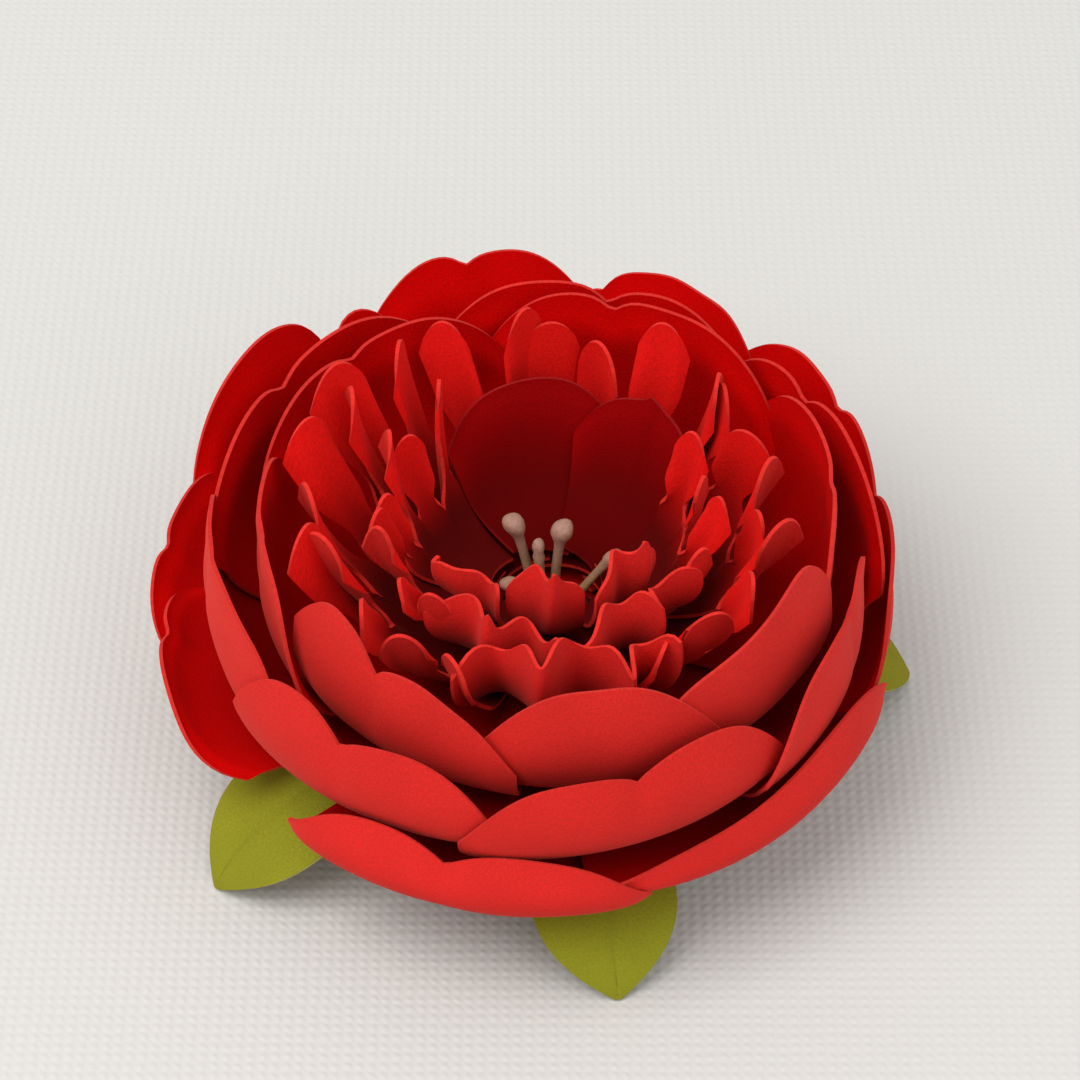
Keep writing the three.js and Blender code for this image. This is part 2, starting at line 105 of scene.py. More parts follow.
# Smooth petals: azimuth, half spread in degrees, length in walls, place of the notch across the
# rim, its depth, tilt of the rim (right end up), how far the lip leans out in millimetres, and how
# far the shoulders fall and how square they are.
PETALS = {
    "outer_petal": [
        (-14, 31, 1.0, -0.08, 0.07, -0.03, -0.8, 0.3, 5),
        (41, 34, 0.94, 0.25, 0.0, 0.06, -0.8, 0.22, 5),
        (95, 24, 0.95, 0.1, 0.0, 0.02, -0.9, 0.35, 3),
        (131, 23, 0.96, -0.2, 0.04, 0.0, 0.3, 0.3, 3),
        (161, 21, 0.97, 0.5, 0.03, 0.0, 0.6, 0.3, 3),
        (190, 22, 1.0, 0.1, 0.03, 0.0, 0.6, 0.3, 3),
        (222, 24, 1.0, -0.3, 0.14, 0.0, 0.5, 0.3, 3),
        (253, 21, 0.82, 0.2, 0.04, 0.0, 0.5, 0.3, 3),
        (277, 22, 0.8, -0.2, 0.06, 0.04, 0.0, 0.4, 3),
    ],
    "middle_petal": [
        (16, 31, 0.99, 0.0, 0.05, 0.035, -0.5, 0.25, 5),
        (68, 28, 0.98, 0.1, 0.03, 0.0, -0.3, 0.25, 4),
        (119, 30, 1.0, 0.2, 0.05, 0.0, 0.0, 0.25, 4),
        (172, 31, 1.0, -0.1, 0.05, 0.0, 0.0, 0.25, 4),
        (230, 34, 1.0, 0.1, 0.05, 0.0, 0.0, 0.25, 4),
        (283, 31, 1.0, -0.3, 0.03, 0.0, -0.2, 0.25, 5),
        (325, 28, 1.0, -0.08, 0.06, -0.03, -0.2, 0.25, 5),
    ],
    "cup_petal": [
        (10, 28, 1.01, 0.0, 0.0, 0.0, -0.3, 0.28, 3),
        (47, 27, 1.0, 0.1, 0.0, 0.07, -0.2, 0.15, 6),
        (101, 36, 0.99, -0.1, 0.03, 0.0, 0.0, 0.28, 4),
        (160, 34, 1.0, 0.2, 0.05, 0.0, 0.0, 0.28, 4),
        (219, 34, 0.98, 0.1, 0.03, 0.0, 0.0, 0.28, 4),
        (274, 32, 0.99, 0.1, 0.03, 0.0, 0.0, 0.28, 4),
        (325, 29, 1.01, -0.1, 0.07, -0.08, -0.2, 0.18, 4),
    ],
    "centre_petal": [
        (146, 24, 1.02, -0.1, -0.06, 0.0, 0.2, 0.25, 3),
        (187, 30, 1.04, 0.5, 0.0, -0.03, 0.4, 0.25, 3),
    ],
}

# Ruffles: azimuth, half spread, depth of the cuts between the lobes, and the lobes from left to
# right: the turn of each about its own middle in degrees, how far its tip curls out in
# millimetres, and its length in walls. Where the cuts are 0 the rim is one frill: its folds are
# counted, their curls and lengths are averaged, and their turns stay 0.
RUFFLES = {
    "outer_ruffle": [
        (4, 32, 0, [(0, 0.9, 1.0), (0, 0.7, 0.98), (0, 1.0, 1.02)]),
        (56, 32, 0.42, [(-40, 0.8, 0.95), (35, 1.2, 0.98), (-40, 2.0, 1.02), (45, 2.8, 1.06)]),
        (107, 32, 0.4, [(-30, 1.2, 1.04), (40, 2.4, 1.1), (-44, 1.6, 1.06), (30, 2.0, 1.08)]),
        (158, 32, 0.5, [(55, 2.6, 1.12), (-30, 3.6, 1.14), (40, 1.0, 1.04), (-20, 2.6, 1.08)]),
        (209, 32, 0.55, [(-44, 3.0, 1.16), (46, 4.2, 1.06), (-50, 3.2, 1.12), (30, 4.4, 1.14)]),
        (260, 32, 0.58, [(-46, 3.4, 1.14), (40, 5.0, 1.1), (-30, 3.2, 1.04), (50, 4.0, 1.08)]),
        (311, 32, 0.5, [(-44, 3.6, 1.08), (40, 2.8, 1.02), (-44, 2.2, 1.0), (34, 1.2, 0.96)]),
    ],
    "inner_ruffle": [
        (-114, 28, 0.5, [(-50, 2.6, 1.22), (44, 2.0, 1.1), (-30, 3.4, 1.26), (50, 2.0, 1.12)]),
        (-66, 28, 0.5, [(46, 2.2, 1.12), (-50, 3.0, 1.16), (40, 1.8, 1.0), (-30, 1.2, 1.04)]),
        (-17, 30, 0, [(0, 0.9, 1.04), (0, 0.7, 1.0)]),
        (37, 30, 0, [(0, 0.7, 1.0), (0, 1.0, 1.06)]),
        (91, 30, 0.42, [(46, 1.2, 1.06), (-50, 2.6, 1.16), (44, 1.4, 1.12), (-30, 2.2, 1.2)]),
    ],
    "front_ruffle": [
        (-50, 23, 0, [(0, 0.6, 0.98)]), (0, 23, 0, [(0, 0.2, 1.06)]), (50, 23, 0, [(0, 0.6, 1.04)]),
    ],
}

# Leaves: azimuth, and reach of the tip from the flower's middle
LEAVES = [(11, 29.5), (-57, 32), (102, 31.5), (-109, 34.5), (172, 31)]
LEAF_ROOT = 7
LEAF_WIDTH = 12.5
LEAF_CUP = 0.9
LEAF_RISE = 0.4  # roots above the felt

# Stamens: distance from the middle, azimuth, height of the head above the core, lean outwards, and
# the head's diameter
STAMENS = [
    (1.7, -135, 6.6, 2.4, 1.8), (1.3, 150, 6.4, 1.5, 1.8), (0.4, -160, 5.2, 1.6, 1.0),
    (2.3, 100, 4.6, 3.5, 1.3), (2.6, 30, 4.2, 0.9, 1.6), (2.7, -60, 4.0, 0.9, 1.6),
]
STAMEN_GAP = 0.15  # from the core to the foot of the thread
# A stamen's thread, as heights in shares of the whole and radii in millimetres, and the bead above
# it, as heights and shares of the head's radius
THREAD_PROFILE = [(0, 0.45), (0.06, 0.42), (0.2, 0.4), (0.4, 0.4), (0.55, 0.4), (0.68, 0.42),
                  (0.76, 0.5)]
HEAD_PROFILE = [(0.82, 0.8), (0.87, 1), (0.92, 1), (0.96, 0.85), (0.99, 0.5), (1.0, 0)]
STAMEN_SIDES = 20
THREAD_TAN = "9C7C48"
BEAD_PINK = "B4827A"


# Settings

class ClothSettings(bpy.types.PropertyGroup):
    thickness: FloatProperty(
        name="Cloth thickness", description="Thickness of petals and leaves", default=0.32 * MM,
        min=0.1 * MM, max=0.6 * MM, precision=5, subtype="DISTANCE", unit="LENGTH")
    thread: FloatProperty(
        name="Thread spacing", description="Distance between threads of the weave",
        default=0.2 * MM, min=0.1 * MM, max=0.6 * MM, precision=5, subtype="DISTANCE",
        unit="LENGTH")
    petal_outside: StringProperty(
        name="Petal outside", description="sRGB hex of the petals' outer faces", default="D2201A")
    petal_inside: StringProperty(
        name="Petal inside", description="sRGB hex of the petals' inner faces", default="D00000")
    cut_edge: StringProperty(
        name="Cut edge", description="sRGB hex of the cut edges of the cloth", default="C8261E")
    leaf_colour: StringProperty(
        name="Leaf", description="sRGB hex of the leaves", default="8A8A22")


class ClipSettings(bpy.types.PropertyGroup):
    bevel: FloatProperty(
        name="Edge rounding", description="Rounding of the stamped steel's edges",
        default=0.08 * MM, min=0.0, max=0.2 * MM, precision=5, subtype="DISTANCE", unit="LENGTH")
    steel_colour: StringProperty(
        name="Nickel plate", description="sRGB hex of the plated steel", default="C9C5BC")
    felt_colour: StringProperty(
        name="Felt", description="sRGB hex of the felt backing", default="6E6C2C")


class StageSettings(bpy.types.PropertyGroup):
    distance: FloatProperty(
        name="Camera distance", description="Camera to what it looks at", default=330 * MM,
        min=0.1, max=2.0, subtype="DISTANCE", unit="LENGTH")
    elevation: FloatProperty(
        name="Camera elevation", description="Camera above the horizon",
        default=math.radians(45), subtype="ANGLE", unit="ROTATION")
    lens: FloatProperty(
        name="Lens", description="Focal length in millimetres", default=137, min=20, max=300)
    floor_colour: StringProperty(
        name="Floor", description="sRGB hex of the floor", default="CECCC6")


# Materials

def linear(hex_colour):
    """An sRGB hex colour as linear red, green, blue and alpha."""
    channels = [int(hex_colour[i:i + 2], 16) / 255 for i in (0, 2, 4)]
    return (*(c / 12.92 if c <= 0.04045 else ((c + 0.055) / 1.055) ** 2.4 for c in channels), 1)


def add_node(material, kind, inputs=(), **settings):
    """Adds one node. An input's value is a number, a colour or a socket to link from."""
    tree = material.node_tree
    node = tree.nodes.new(kind)
    for name, value in settings.items():
        setattr(node, name, value)
    for name, value in dict(inputs).items():
        if isinstance(value, bpy.types.NodeSocket):
            tree.links.new(value, node.inputs[name])
        else:
            node.inputs[name].default_value = value
    return node


def new_material(name):
    """An empty material and its surface shader."""
    material = bpy.data.materials.get(name)
    if material:
        return material, None
    material = bpy.data.materials.new(name)
    material.use_nodes = True
    return material, material.node_tree.nodes["Principled BSDF"]


def finish_shader(material, shader, inputs):
    """Sets or links the shader's inputs."""
    for name, value in inputs.items():
        if isinstance(value, bpy.types.NodeSocket):
            material.node_tree.links.new(value, shader.inputs[name])
        else:
            shader.inputs[name].default_value = value


def shade(hex_colour, factor):
    """A linear colour made lighter or darker."""
    return (*(min(1, c * factor) for c in linear(hex_colour)[:3]), 1)


LINT = "FF6A5A"  # the haze of fibre ends, warmed by the red cloth round it
THREAD_GRAIN = 1.5  # specks of grain to one thread
CLOUD_SIZE = 6 * MM


def pressed_cloth(name, hex_colour, thread, sheen, weave_bump=0.5, root=1.0, gloss=0.2):
    """Starched cotton satin, heat-pressed into shape: fine threads both ways that show as grain, a
    soft cloudy tone where the press took the colour up unevenly, painted shade that darkens the
    colour towards the root, and a pale haze of lint."""
    material, shader = new_material(name)
    if not shader:
        return material
    cloth = add_node(material, "ShaderNodeUVMap", uv_map="UVMap").outputs["UV"]
    place = add_node(material, "ShaderNodeTexCoord").outputs["Object"]
    threads = []
    for stretch in ((1, 0.4, 1), (0.4, 1, 1)):
        along = add_node(material, "ShaderNodeMapping", {"Vector": cloth, "Scale": stretch})
        threads.append(add_node(material, "ShaderNodeTexNoise", {
            "Vector": along.outputs["Vector"], "Scale": THREAD_GRAIN / thread, "Detail": 1.0,
            "Roughness": 0.6,
        }).outputs["Fac"])
    weave = add_node(material, "ShaderNodeMath", {0: threads[0], 1: threads[1]}, operation="ADD")
    cloud = add_node(material, "ShaderNodeTexNoise", {
        "Vector": place, "Scale": 1 / CLOUD_SIZE, "Detail": 3.0, "Roughness": 0.5,
    }).outputs["Fac"]
    tone = add_node(material, "ShaderNodeMix", {
        "Factor": cloud, 6: shade(hex_colour, 0.84), 7: shade(hex_colour, 1.16),
    }, data_type="RGBA").outputs[2]
    speckle = add_node(material, "ShaderNodeMapRange", {
        "Value": weave.outputs[0], "From Min": 0.8, "From Max": 1.2, "To Min": 0.0, "To Max": 0.45,
    }).outputs["Result"]
    colour = add_node(material, "ShaderNodeMix", {
        "Factor": speckle, 6: tone, 7: shade(hex_colour, 0.6),
    }, data_type="RGBA").outputs[2]
    # Painted shade: the colour darkens from below the rim down to the root, deep in the flower.
    if root < 1:
        colour = painted_shade_at_the_root(material, colour, shade(hex_colour, root))
    bump = add_node(material, "ShaderNodeBump", {
        "Height": weave.outputs[0], "Strength": weave_bump, "Distance": 0.06 * MM,
    }).outputs["Normal"]
    finish_shader(material, shader, {
        "Base Color": colour, "Normal": bump, "Roughness": 0.86, "Specular IOR Level": gloss,
        "Sheen Weight": sheen, "Sheen Roughness": 0.45, "Sheen Tint": linear(LINT),
    })
    return material


def painted_shade_at_the_root(material, colour, shaded_root_colour):
    """The colour of a petal, with painted shade that darkens the part below the rim."""
    petal_place = add_node(material, "ShaderNodeUVMap", uv_map="PetalPlace").outputs["UV"]
    rise = add_node(material, "ShaderNodeSeparateXYZ", {"Vector": petal_place}).outputs["Y"]
    # Painted shade: full below a third of the way up, none at the rim.
    root_shade = add_node(material, "ShaderNodeMapRange", {
        "Value": rise, "From Min": 0.35, "From Max": 0.95, "To Min": 1.0, "To Max": 0.0,
    }, interpolation_type="SMOOTHSTEP").outputs["Result"]
    return add_node(material, "ShaderNodeMix", {
        "Factor": root_shade, 6: colour, 7: shaded_root_colour,
    }, data_type="RGBA").outputs[2]


def waxed_thread(name, hex_colour, tip_hex, low, high):
    """Waxed cotton stamen threads with a blunt bead of dyed paste: tan below, dusky pink above."""
    material, shader = new_material(name)
    if not shader:
        return material
    place = add_node(material, "ShaderNodeTexCoord").outputs["Object"]
    height = add_node(material, "ShaderNodeSeparateXYZ", {"Vector": place}).outputs["Z"]
    rise = add_node(material, "ShaderNodeMapRange", {
        "Value": height, "From Min": low, "From Max": high,
    }).outputs["Result"]
    crumb = add_node(material, "ShaderNodeTexNoise", {
        "Vector": place, "Scale": 1 / (0.3 * MM), "Detail": 3.0,
    }).outputs["Fac"]
    colour = add_node(material, "ShaderNodeMix", {
        "Factor": rise, 6: linear(hex_colour), 7: linear(tip_hex),
    }, data_type="RGBA").outputs[2]
    mottled = add_node(material, "ShaderNodeMix", {
        "Factor": crumb, 6: colour, 7: shade(hex_colour, 0.55),
    }, data_type="RGBA").outputs[2]
    bump = add_node(material, "ShaderNodeBump", {
        "Height": crumb, "Strength": 0.5, "Distance": 0.08 * MM,
    }).outputs["Normal"]
    finish_shader(material, shader, {
        "Base Color": mottled, "Normal": bump, "Roughness": 0.6, "Subsurface Weight": 0.1,
        "Subsurface Radius": (0.6 * MM, 0.4 * MM, 0.3 * MM),
    })
    return material


def wool_felt(name, hex_colour):
    """Pressed wool felt: matt, with short fibres that catch light every which way."""
    material, shader = new_material(name)
    if not shader:
        return material
    place = add_node(material, "ShaderNodeTexCoord").outputs["Object"]
    fibre = add_node(material, "ShaderNodeTexNoise", {
        "Vector": place, "Scale": 1 / (0.35 * MM), "Detail": 6.0, "Roughness": 0.7,
        "Distortion": 1.5,
    }).outputs["Fac"]
    colour = add_node(material, "ShaderNodeMix", {
        "Factor": fibre, 6: shade(hex_colour, 0.5), 7: shade(hex_colour, 1.5),
    }, data_type="RGBA").outputs[2]
    bump = add_node(material, "ShaderNodeBump", {
        "Height": fibre, "Strength": 0.9, "Distance": 0.15 * MM,
    }).outputs["Normal"]
    finish_shader(material, shader, {
        "Base Color": colour, "Normal": bump, "Roughness": 0.95, "Sheen Weight": 0.4,
        "Sheen Roughness": 0.6,
    })
    return material


def hot_glue(name, hex_colour):
    """Hot-melt glue: waxy and cloudy, with small bubbles."""
    material, shader = new_material(name)
    if not shader:
        return material
    place = add_node(material, "ShaderNodeTexCoord").outputs["Object"]
    cloud = add_node(material, "ShaderNodeTexNoise", {
        "Vector": place, "Scale": 1 / (1.5 * MM), "Detail": 2.0,
    }).outputs["Fac"]
    colour = add_node(material, "ShaderNodeMix", {
        "Factor": cloud, 6: shade(hex_colour, 0.7), 7: linear(hex_colour),
    }, data_type="RGBA").outputs[2]
    bump = add_node(material, "ShaderNodeBump", {
        "Height": cloud, "Strength": 0.3, "Distance": 0.3 * MM,
    }).outputs["Normal"]
    finish_shader(material, shader, {
        "Base Color": colour, "Normal": bump, "Roughness": 0.35, "Subsurface Weight": 0.3,
        "Subsurface Radius": (1.2 * MM, 0.9 * MM, 0.6 * MM),
    })
    return material


def plated_steel(name, hex_colour, rough, grain_mm):
    """Nickel-plated stamped steel: rolling lines under the plate, fine scuffs from handling."""
    material, shader = new_material(name)
    if not shader:
        return material
    place = add_node(material, "ShaderNodeTexCoord").outputs["Object"]
    along = add_node(material, "ShaderNodeMapping", {
        "Vector": place, "Rotation": (0, 0, -CLIP_TURN), "Scale": (0.08, 1, 1),
    }).outputs["Vector"]
    lines = add_node(material, "ShaderNodeTexNoise", {
        "Vector": along, "Scale": 1 / (grain_mm * MM), "Detail": 3.0, "Roughness": 0.6,
    }).outputs["Fac"]
    scuffs = add_node(material, "ShaderNodeTexNoise", {
        "Vector": place, "Scale": 1 / (2.5 * MM), "Detail": 5.0, "Roughness": 0.7,
    }).outputs["Fac"]
    roughness = add_node(material, "ShaderNodeMapRange", {
        "Value": scuffs, "From Min": 0.3, "From Max": 0.7, "To Min": rough - 0.08,
        "To Max": rough + 0.14,
    }).outputs["Result"]
    colour = add_node(material, "ShaderNodeMix", {
        "Factor": scuffs, 6: shade(hex_colour, 0.85), 7: linear(hex_colour),
    }, data_type="RGBA").outputs[2]
    bump = add_node(material, "ShaderNodeBump", {
        "Height": lines, "Strength": 0.15, "Distance": 0.02 * MM,
    }).outputs["Normal"]
    finish_shader(material, shader, {
        "Base Color": colour, "Normal": bump, "Roughness": roughness, "Metallic": 1.0,
    })
    return material


LINEN_THREAD = 0.95 * MM
BAND_SCALE = 0.3142  # the scale at which a wave texture's bands are one unit wide


def linen_floor(name, hex_colour):
    """A pale woven tablecloth, pressed flat: coarse threads both ways, a little darker between."""
    material, shader = new_material(name)
    if not shader:
        return material
    place = add_node(material, "ShaderNodeTexCoord").outputs["Object"]
    waves = [add_node(material, "ShaderNodeTexWave", {
        "Vector": place, "Scale": BAND_SCALE / LINEN_THREAD, "Distortion": 1.5, "Detail": 2.0,
        "Detail Scale": 1.5,
    }, bands_direction=direction).outputs["Fac"] for direction in ("X", "Y")]
    weave = add_node(material, "ShaderNodeMath", {0: waves[0], 1: waves[1]}, operation="MULTIPLY")
    cloud = add_node(material, "ShaderNodeTexNoise", {
        "Vector": place, "Scale": 1 / (30 * MM), "Detail": 3.0,
    }).outputs["Fac"]
    tone = add_node(material, "ShaderNodeMix", {
        "Factor": cloud, 6: shade(hex_colour, 0.97), 7: linear(hex_colour),
    }, data_type="RGBA").outputs[2]
    dips = add_node(material, "ShaderNodeMapRange", {
        "Value": weave.outputs[0], "From Min": 0.0, "From Max": 1.0, "To Min": 0.12, "To Max": 0.0,
    }).outputs["Result"]
    colour = add_node(material, "ShaderNodeMix", {
        "Factor": dips, 6: tone, 7: shade(hex_colour, 0.8),
    }, data_type="RGBA").outputs[2]
    bump = add_node(material, "ShaderNodeBump", {
        "Height": weave.outputs[0], "Strength": 0.5, "Distance": 0.12 * MM,
    }).outputs["Normal"]
    finish_shader(material, shader, {
        "Base Color": colour, "Normal": bump, "Roughness": 0.95, "Specular IOR Level": 0.2,
    })
    return material


def cloth_materials(prefix, outside, inside, edge, thread, sheen, inside_sheen, root):
    """The three faces of a cut piece of cloth: its outside, its inside and its cut edge. sheen is
    the haze of lint on each side, and root how dark the painted shade makes the colour at the
    root, 1 for none."""
    return [
        pressed_cloth(f"{prefix}_outside", outside, thread, sheen, root=root),
        pressed_cloth(f"{prefix}_inside", inside, thread, inside_sheen, root=root, gloss=0.05),
        pressed_cloth(f"{prefix}_cut_edge", edge, thread, sheen, weave_bump=0.2),
    ]


# Shapes

def around(azimuth, radius, height):
    """Points round the flower's middle, in millimetres."""
    turn = np.radians(azimuth)
    return np.stack(np.broadcast_arrays(
        MIDDLE[0] + radius * np.sin(turn), MIDDLE[1] - radius * np.cos(turn), height), axis=-1)


def bezier(p0, p1, p2, p3, t):
    """A cubic curve's points and directions."""
    s = 1 - t
    place = s**3 * p0 + 3 * s**2 * t * p1 + 3 * s * t**2 * p2 + t**3 * p3
    way = 3 * s**2 * (p1 - p0) + 6 * s * t * (p2 - p1) + 3 * t**2 * (p3 - p2)
    return place, way


def wall(ring, azimuth, along, offset):
    """Points of a ring's bowl: along runs from 0 at the roots to 1 at the rim, and offset is
    outwards."""
    front, right = np.cos(np.radians(azimuth)), np.sin(np.radians(azimuth))
    radius = ring["radius"] - ring["back_flare"] * front - ring["left_flare"] * right
    height = ring["height"] - ring["front_drop"] * front
    belly = radius * (ring["belly"] + ring["belly_front"] * front)
    belly_rise = ring["belly_rise"] - ring["belly_drop"] * front
    base = FELT_TOP + ring["root"]
    out, out_way = bezier(ROOT_RADIUS, WALL_FLOOR * radius, belly, radius, along)
    up, up_way = bezier(base, base - 0.5, base + belly_rise, base + height, along)
    size = np.hypot(out_way, up_way)
    return around(azimuth, out + up_way / size * offset, up - out_way / size * offset)


def smooth_step(low, high, value):
    """0 below low, 1 above high, and a smooth rise between."""
    t = np.clip((value - low) / (high - low), 0, 1)
    return t * t * (3 - 2 * t)


def ripple(seed, across, up):
    """A soft unevenness between -1 and 1, the same for the same seed."""
    draw = np.random.default_rng(seed)
    total = 0
    for _ in range(4):
        cycles = draw.uniform(0.6, 2.2, 2)
        phase = draw.uniform(0, 2 * math.pi, 2)
        total = total + np.sin(cycles[0] * math.pi * across + phase[0]) * np.sin(
            cycles[1] * math.pi * up + phase[1])
    return total / 4


def petal_points(name, petal, seed):
    """The surface of a smooth petal with a round, notched rim."""
    ring = RINGS[name]
    azimuth, spread, length, notch_at, notch, tilt, lip, fall, square = petal
    # The rim rolls out, most at the back, and a crease runs down from its notch.
    roll = 0.55 * (1 - math.cos(math.radians(azimuth))) if name != "centre_petal" else 0.2

    def surface(across, up):
        shoulder = fall * np.abs(across) ** square
        cleft = notch * np.exp(-np.abs(across - notch_at) / 0.12)
        uneven = 0.008 * ripple(seed, across * 2, 0.5 + 0 * up)
        rim = length * (1 - shoulder - cleft + tilt * across + uneven)
        crease = -0.3 * np.exp(-((across - notch_at) / 0.08) ** 2) * (abs(notch) > 0.02)
        near_rim = smooth_step(0.65, 1.0, up)
        offset = (0.5 * ring["lap"] * ring["side"] * across + crease * near_rim
                  + lip * near_rim**2 + roll * smooth_step(0.86, 1.0, up) ** 2
                  + 0.22 * ripple(seed + 1, across, up) * up)
        return wall(ring, azimuth + spread * across, up * rim, offset)
    return surface


def frill_points(name, petal, seed):
    """The surface of a ruffle whose rim is folded to and fro."""
    ring = RINGS[name]
    azimuth, spread, _, folds = petal
    draw = np.random.default_rng(seed)
    phase, second = draw.uniform(0, 2 * math.pi, 2)
    deep = min(1.8, 0.12 * ring["radius"])
    count = len(folds)
    lean = sum(fold[1] for fold in folds) / count
    length = sum(fold[2] for fold in folds) / count

    def surface(across, up):
        turns = count * math.pi * (across + 1) + 0.8 * np.sin(math.pi * across + second)
        rim = length * (1 - 0.1 * across**6 + 0.05 * np.sin(0.5 * turns + second)
                        + 0.035 * np.cos(2 * turns + phase))
        depth = smooth_step(0.25, 0.95, up)
        fold = np.sin(turns + phase) + 0.12 * np.sin(2 * turns + second) * depth
        offset = (0.5 * ring["lap"] * ring["side"] * across + deep * fold * depth
                  + lean * depth**2 + 0.4 * ripple(seed + 1, across, up) * depth)
        sway = 2.0 * np.cos(turns + phase) * depth
        return wall(ring, azimuth + spread * across + sway, up * rim, offset)
    return surface


# Cells of the cloth's grids, across and up; a fringe's are across one lobe
PETAL_GRID = (44, 36)
FRILL_GRID = (64, 28)
LEAF_GRID = (40, 60)
FRINGE_CELLS = 14
FRINGE_ROWS = 44


def fringe_points(name, petal, seed):
    """The surface of a ruffle whose rim is cut into lobes with a waist. The strip is folded to and
    fro, so that each lobe is turned about its own middle, and the lobes curl out."""
    ring = RINGS[name]
    azimuth, spread, cut, lobes = petal
    draw = np.random.default_rng(seed)
    turns, curls, lengths = (np.array(column, float) for column in zip(*lobes))
    turns = np.radians(turns)
    count = len(lobes)
    shifts = draw.uniform(-0.2, 0.2, count) / count
    hollows = draw.uniform(0.2, 1.1, count)
    widths = draw.uniform(0.86, 1.12, count)
    leans = draw.uniform(-0.5, 0.5, count) / count
    columns = count * (FRINGE_CELLS + 1) - 1
    half_mm = ring["radius"] * math.radians(spread) / count

    def surface(across, up):
        column = np.rint((across + 1) / 2 * columns).astype(int)
        lobe = column // (FRINGE_CELLS + 1)
        side = 2 * (column % (FRINGE_CELLS + 1)) / FRINGE_CELLS - 1
        floor = 1 - cut
        free = np.clip((up - floor) / cut, 0, 1)
        neck = 0.36 * np.sin(math.pi * np.clip(free / 0.75, 0, 1)) ** 2
        waist = (1 + (widths[lobe] - 1) * free) * (0.96 - neck)
        depth = smooth_step(0.25, 0.9, up)
        turn = turns[lobe] * depth
        centre = (2 * lobe + 1) / count - 1 + shifts[lobe] * free + leans[lobe] * free**2
        place = centre + side / count * waist * np.cos(turn)
        tip = lengths[lobe] * (1 - 0.17 * (1 - np.sqrt(1 - 0.97 * side**2)))
        along = np.where(up < floor, up * lengths[lobe], floor * lengths[lobe]
                         + free * (tip - floor * lengths[lobe]))
        offset = (0.5 * ring["lap"] * ring["side"] * place + curls[lobe] * free**2.4
                  + half_mm * side * waist * np.sin(turn)
                  + hollows[lobe] * (1 - side**2) * depth)
        return wall(ring, azimuth + spread * place, along, offset)
    return surface


def leaf_points(leaf, seed):
    """The surface of a leaf that arches out and down to its tip."""
    azimuth, reach = leaf

    def surface(across, along):
        base = FELT_TOP + LEAF_RISE
        out, _ = bezier(LEAF_ROOT, 0.66 * reach, 0.93 * reach, reach, along)
        up, _ = bezier(base, base + 1.1, 0.8 * base, 0.1, along)
        bulge = np.sin(math.pi * np.abs(along) ** 1.25)
        half = LEAF_WIDTH * (0.4 * bulge + 0.13 * (1 - along) + 0.012)
        drop = 5 * LEAF_CUP * across**2 * np.maximum(0, along - 0.3) * (1 - along)
        crease = 0.25 * np.exp(-np.abs(across) / 0.08) * smooth_step(0.1, 0.4, along)
        curl = 0.25 * ripple(seed, across, along) * smooth_step(0.3, 0.6, along) * (1 - along)
        turn = np.radians(azimuth)
        middle = around(azimuth, out, np.maximum(up - drop - crease + curl, 0.16))
        sideways = np.stack(
            [np.cos(turn) * half * across, np.sin(turn) * half * across, 0 * half], axis=-1)
        return middle + sideways
    return surface


# Objects

def deselect():
    bpy.ops.object.select_all(action="DESELECT")


def apply_modifier(piece, kind, **settings):
    """Adds a modifier, sets it and applies it."""
    modifier = piece.modifiers.new(kind.title(), kind)
    for name, value in settings.items():
        setattr(modifier, name, value)
    bpy.context.view_layer.objects.active = piece
    bpy.ops.object.modifier_apply(modifier=modifier.name)


def smooth(piece, degrees=45):
    deselect()
    piece.select_set(True)
    bpy.context.view_layer.objects.active = piece
    bpy.ops.object.shade_smooth_by_angle(angle=math.radians(degrees))


def grid(name, columns, rows):
    """A grid primitive from -1 to 1, selected and active."""
    deselect()
    bpy.ops.mesh.primitive_grid_add(x_subdivisions=columns, y_subdivisions=rows, size=2)
    piece = bpy.context.object
    piece.name = piece.data.name = name
    return piece


def cut_between_lobes(piece, lobes, cut):
    """Removes the cells between a fringe's lobes, above the bottom of the cuts."""
    mesh = bmesh.new()
    mesh.from_mesh(piece.data)
    columns = lobes * (FRINGE_CELLS + 1) - 1
    gone = []
    for face in mesh.faces:
        place = face.calc_center_median()
        column = int((place.x + 1) / 2 * columns)
        if column % (FRINGE_CELLS + 1) == FRINGE_CELLS and (place.y + 1) / 2 > 1 - cut:
            gone.append(face)
    bmesh.ops.delete(mesh, geom=gone, context="FACES")
    mesh.to_mesh(piece.data)
    mesh.free()


# A sheet can't be declared with a side under 10 mm, so the three small front ruffles are declared
# larger than they are.
WIDTH_AT = 0.6  # where a sheet's width is measured, in lengths
SAMPLES = 60  # points along each line that is measured


